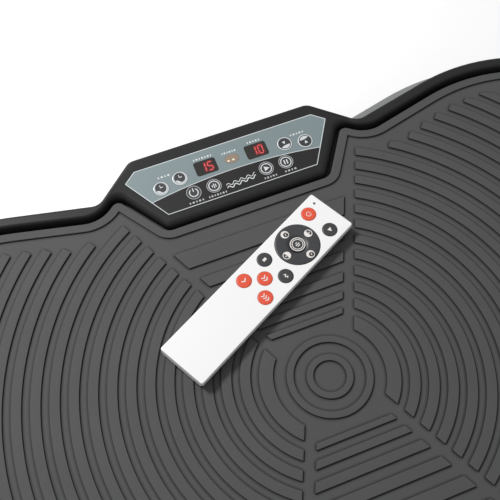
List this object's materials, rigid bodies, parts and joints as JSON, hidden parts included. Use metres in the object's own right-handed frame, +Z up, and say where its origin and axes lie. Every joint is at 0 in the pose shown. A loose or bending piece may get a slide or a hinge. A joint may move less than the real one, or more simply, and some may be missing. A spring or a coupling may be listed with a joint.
{
  "type": "vibration plate",
  "caption": "Peanut-shaped oscillating fitness plate with a ribbed rubber mat, an edge console, a belt-driven rocking deck and a slim remote.",
  "frame": {"origin": "on the floor under the middle of the plate", "axes": "+X along the plate to the user's right, +Y towards the console, +Z up"},
  "size_m": [0.731, 0.4413, 0.1346],
  "materials": {
    "tray_black": "fine textured",
    "trim_silver": "silver paint, satin",
    "shell_black": "satin",
    "mat_rubber": "moulded, matte",
    "foot_rubber": "smooth",
    "belt_rubber": "ribbed",
    "frame_paint": "powder coat",
    "zinc_steel": "zinc plated",
    "bright_steel": "ground",
    "cast_grey": "as cast",
    "pulley_alloy": "turned",
    "copper_winding": "enamelled copper wire",
    "board_green": "solder mask",
    "switch_red": "glossy",
    "console_face": "printed satin film, silver over black",
    "display_red": "lit segments",
    "window_dark": "smoked",
    "ir_amber": "tinted",
    "key_silver": "printed film",
    "key_black": "satin",
    "key_red": "satin",
    "remote_white": "satin",
    "lamp_grey": "smoked"
  },
  "bodies": {
    "base": {"base_tray": "tray_black", "side_trim": "trim_silver", "chassis": "frame_paint", "drive_plate": "zinc_steel", "suction_feet": "foot_rubber", "bearing_blocks": "cast_grey", "ball_bearings": "bright_steel", "bump_stops": "foot_rubber", "motor_can": "frame_paint", "motor_bracket": "zinc_steel", "drive_belt": "belt_rubber", "control_board": "board_green", "mains_inlet": "tray_black", "switch_frame": "tray_black", "tray_screws": "zinc_steel"},
    "rotor": {"motor_shaft": "bright_steel", "armature": "copper_winding", "motor_pulley": "pulley_alloy"},
    "crank": {"crank_shaft": "bright_steel", "crank_pulley": "pulley_alloy", "eccentric_bearing": "bright_steel"},
    "switch": {"mains_switch": "switch_red"},
    "fuse": {"fuse_drawer": "tray_black"},
    "deck": {"top_shell": "shell_black", "rim_hood": "shell_black", "deck_plate": "zinc_steel", "deck_frame": "frame_paint", "rubber_mat": "mat_rubber", "rocker_axle": "bright_steel", "drive_yoke": "frame_paint", "deck_screws": "zinc_steel", "console_overlay": "console_face", "console_board": "board_green", "led_displays": "display_red", "display_windows": "window_dark", "ir_window": "ir_amber"},
    "time_down_key": {"time_down_key": "key_silver"},
    "time_up_key": {"time_up_key": "key_silver"},
    "speed_down_key": {"speed_down_key": "key_silver"},
    "speed_up_key": {"speed_up_key": "key_silver"},
    "power_key": {"power_key": "key_black"},
    "program_key": {"program_key": "key_black"},
    "start_key": {"start_key": "key_black"},
    "pause_key": {"pause_key": "key_black"},
    "remote": {"remote_top": "remote_white", "remote_base": "remote_white", "remote_board": "board_green", "remote_lamp": "lamp_grey", "remote_led": "window_dark"},
    "cell_tray": {"cell_drawer": "remote_white", "coin_cell": "bright_steel"},
    "remote_power_body": {"remote_power": "key_red"},
    "remote_start_body": {"remote_start": "key_black"},
    "remote_ring_body": {"remote_ring": "key_black"},
    "remote_centre_body": {"remote_centre": "key_black"},
    "remote_stop_body": {"remote_stop": "key_black"},
    "remote_mode_body": {"remote_mode": "key_black"},
    "remote_pace_1_body": {"remote_pace_1": "key_red"},
    "remote_pace_2_body": {"remote_pace_2": "key_red"},
    "remote_pace_3_body": {"remote_pace_3": "key_red"}
  },
  "joints": [
    {"name": "deck_rock", "type": "hinge", "parent": "base", "child": "deck", "pos_m": [0, 0, 0.062], "axis": [0, 1, 0], "range_deg": [-1.2, 1.2], "stiffness_Nm_per_rad": 400},
    {"name": "motor_spin", "type": "hinge", "parent": "base", "child": "rotor", "pos_m": [0.238, 0, 0.052], "axis": [0, 1, 0], "continuous": true},
    {"name": "crank_spin", "type": "hinge", "parent": "base", "child": "crank", "pos_m": [0.13, 0, 0.052], "axis": [0, 1, 0], "continuous": true},
    {"name": "switch_rock", "type": "hinge", "parent": "base", "child": "switch", "pos_m": [-0.006, 0.1948, 0.058], "axis": [-1, 0, 0], "range_deg": [0, 18]},
    {"name": "fuse_slide", "type": "slide", "parent": "base", "child": "fuse", "axis": [0, 1, 0], "range_m": [0, 0.022]},
    {"name": "time_down_key_press", "type": "slide", "parent": "deck", "child": "time_down_key", "axis": [0, 0.0889, -0.996], "range_m": [0, 0.0005], "stiffness_N_per_m": 2000},
    {"name": "time_up_key_press", "type": "slide", "parent": "deck", "child": "time_up_key", "axis": [0, 0.0889, -0.996], "range_m": [0, 0.0005], "stiffness_N_per_m": 2000},
    {"name": "speed_down_key_press", "type": "slide", "parent": "deck", "child": "speed_down_key", "axis": [0, 0.0889, -0.996], "range_m": [0, 0.0005], "stiffness_N_per_m": 2000},
    {"name": "speed_up_key_press", "type": "slide", "parent": "deck", "child": "speed_up_key", "axis": [0, 0.0889, -0.996], "range_m": [0, 0.0005], "stiffness_N_per_m": 2000},
    {"name": "power_key_press", "type": "slide", "parent": "deck", "child": "power_key", "axis": [0, 0.0889, -0.996], "range_m": [0, 0.0005], "stiffness_N_per_m": 2000},
    {"name": "program_key_press", "type": "slide", "parent": "deck", "child": "program_key", "axis": [0, 0.0889, -0.996], "range_m": [0, 0.0005], "stiffness_N_per_m": 2000},
    {"name": "start_key_press", "type": "slide", "parent": "deck", "child": "start_key", "axis": [0, 0.0889, -0.996], "range_m": [0, 0.0005], "stiffness_N_per_m": 2000},
    {"name": "pause_key_press", "type": "slide", "parent": "deck", "child": "pause_key", "axis": [0, 0.0889, -0.996], "range_m": [0, 0.0005], "stiffness_N_per_m": 2000},
    {"name": "remote_lift", "type": "slide", "parent": "deck", "child": "remote", "axis": [0, 0, 1], "range_m": [0, 0.15]},
    {"name": "cell_tray_slide", "type": "slide", "parent": "remote", "child": "cell_tray", "axis": [-0.8878, -0.4602, 0], "range_m": [0, 0.03]},
    {"name": "remote_power_press", "type": "slide", "parent": "remote", "child": "remote_power_body", "axis": [0, 0, -1], "range_m": [0, 0.0003], "stiffness_N_per_m": 2000},
    {"name": "remote_start_press", "type": "slide", "parent": "remote", "child": "remote_start_body", "axis": [0, 0, -1], "range_m": [0, 0.0003], "stiffness_N_per_m": 2000},
    {"name": "remote_ring_press", "type": "slide", "parent": "remote", "child": "remote_ring_body", "axis": [0, 0, -1], "range_m": [0, 0.0003], "stiffness_N_per_m": 2000},
    {"name": "remote_centre_press", "type": "slide", "parent": "remote", "child": "remote_centre_body", "axis": [0, 0, -1], "range_m": [0, 0.0003], "stiffness_N_per_m": 2000},
    {"name": "remote_stop_press", "type": "slide", "parent": "remote", "child": "remote_stop_body", "axis": [0, 0, -1], "range_m": [0, 0.0003], "stiffness_N_per_m": 2000},
    {"name": "remote_mode_press", "type": "slide", "parent": "remote", "child": "remote_mode_body", "axis": [0, 0, -1], "range_m": [0, 0.0003], "stiffness_N_per_m": 2000},
    {"name": "remote_pace_1_press", "type": "slide", "parent": "remote", "child": "remote_pace_1_body", "axis": [0, 0, -1], "range_m": [0, 0.0003], "stiffness_N_per_m": 2000},
    {"name": "remote_pace_2_press", "type": "slide", "parent": "remote", "child": "remote_pace_2_body", "axis": [0, 0, -1], "range_m": [0, 0.0003], "stiffness_N_per_m": 2000},
    {"name": "remote_pace_3_press", "type": "slide", "parent": "remote", "child": "remote_pace_3_body", "axis": [0, 0, -1], "range_m": [0, 0.0003], "stiffness_N_per_m": 2000}
  ],
  "couplings": [
    {"joint": "crank_spin", "follows": "motor_spin", "ratio": 0.42857}
  ]
}
